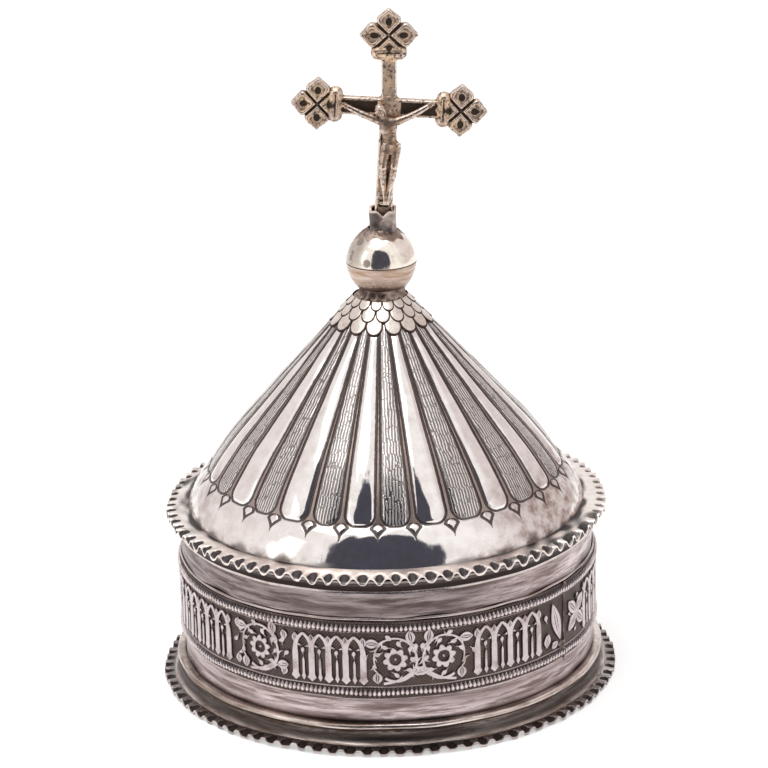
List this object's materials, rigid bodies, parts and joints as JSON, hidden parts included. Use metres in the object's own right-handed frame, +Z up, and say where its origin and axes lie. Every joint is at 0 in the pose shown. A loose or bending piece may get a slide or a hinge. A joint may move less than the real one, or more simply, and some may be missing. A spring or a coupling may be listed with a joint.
{
  "type": "pyx",
  "caption": "Round silver box with crimped foot, engraved frieze band and a lift-off conical lid with tongues, scales, ball knop and crucifix, for holding hosts.",
  "frame": {"origin": "on the table under the middle of the round foot", "axes": "+Z up along the axis of the box and lid, front of the crucifix towards -Y, +X to its right as seen from the front"},
  "size_m": [0.11, 0.11, 0.1631],
  "materials": {
    "silver": "worn hand-hammered silver",
    "dark_silver": "tarnished silver with oxidised recesses",
    "gilt_silver": "worn gilt silver"
  },
  "bodies": {
    "box": {"base_plate": "silver", "foot_moulding": "silver", "box_wall": "silver", "lower_edge_wire": "dark_silver", "lower_milled_wire": "dark_silver", "frieze_band": "dark_silver", "upper_milled_wire": "dark_silver", "upper_edge_wire": "dark_silver", "mouth_lip": "silver"},
    "bezel": {"lid_bezel": "silver"},
    "lid": {"lid_flange": "silver", "lid_cone": "silver", "tang_washer": "silver", "neck_collar": "silver", "knop_lower": "silver", "knop_upper": "silver", "cross_socket": "silver", "cross": "gilt_silver", "corpus": "gilt_silver", "corpus_rivets": "gilt_silver"}
  },
  "joints": [
    {"name": "lid_lift", "type": "slide", "parent": "box", "child": "bezel", "axis": [0, 0, 1], "range_m": [0, 0.08]},
    {"name": "lid_turn", "type": "hinge", "parent": "bezel", "child": "lid", "pos_m": [0, 0, 0.043], "axis": [0, 0, 1], "continuous": true}
  ]
}
